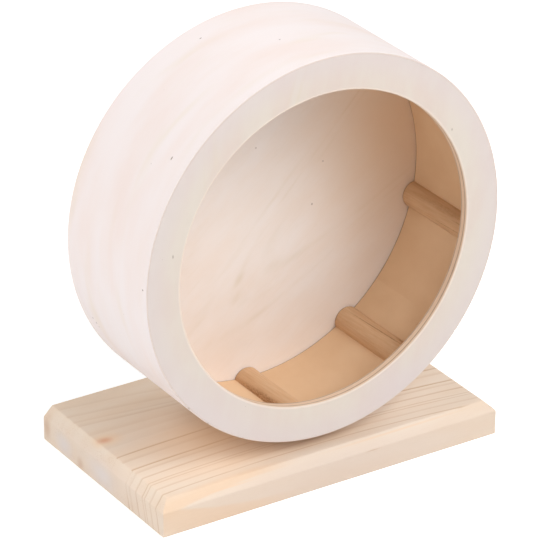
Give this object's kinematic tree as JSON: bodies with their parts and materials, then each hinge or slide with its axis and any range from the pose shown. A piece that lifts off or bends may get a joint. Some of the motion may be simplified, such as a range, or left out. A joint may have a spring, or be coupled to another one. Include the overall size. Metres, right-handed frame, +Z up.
{
  "type": "rodent exercise wheel",
  "caption": "Closed-back plywood drum with a ring front and half-round rungs, turning on a ball bearing in an upright board that stands on a chamfered plank.",
  "frame": {"origin": "middle of the plank's underside, which is also the bottom centre of the whole object", "axes": "+X to the right along the plank, +Y to the back, from the open mouth towards the upright, +Z up"},
  "size_m": [0.2, 0.115, 0.2237],
  "materials": {
    "pine": "sanded, bare",
    "poplar_plywood": "sanded, bare",
    "bent_plywood": "bare",
    "face_veneer": "fine sanded, bare",
    "rung_wood": "bare",
    "zinc_steel": "zinc plated",
    "screw_steel": "zinc plated",
    "bearing_steel": "ground",
    "shield_steel": "pressed",
    "ball_steel": "polished",
    "cage_steel": "pressed"
  },
  "bodies": {
    "stand": {"base_plank": "pine", "upright": "pine", "base_screws": "screw_steel", "bearing_outer_race": "bearing_steel", "bearing_shield": "shield_steel"},
    "drum": {"front_ring": "poplar_plywood", "rim_hoop": "bent_plywood", "rim_veneer": "face_veneer", "back_disc": "poplar_plywood", "rung_1": "rung_wood", "rung_2": "rung_wood", "rung_3": "rung_wood", "rung_4": "rung_wood", "rung_5": "rung_wood", "rung_6": "rung_wood", "rung_7": "rung_wood", "rung_8": "rung_wood", "rung_9": "rung_wood", "hub_plate": "poplar_plywood", "axle_bolt": "zinc_steel", "spacer_sleeve": "zinc_steel", "bearing_inner_race": "bearing_steel", "end_washer": "zinc_steel", "lock_nut": "zinc_steel"},
    "ball_set": {"bearing_balls": "ball_steel", "bearing_cage": "cage_steel"}
  },
  "joints": [
    {"name": "drum_spin", "type": "hinge", "parent": "stand", "child": "drum", "pos_m": [0, 0, 0.1237], "axis": [0, 1, 0], "continuous": true},
    {"name": "balls_roll", "type": "hinge", "parent": "stand", "child": "ball_set", "pos_m": [0, 0, 0.1237], "axis": [0, 1, 0], "continuous": true}
  ],
  "couplings": [
    {"joint": "balls_roll", "follows": "drum_spin", "ratio": 0.3677}
  ]
}
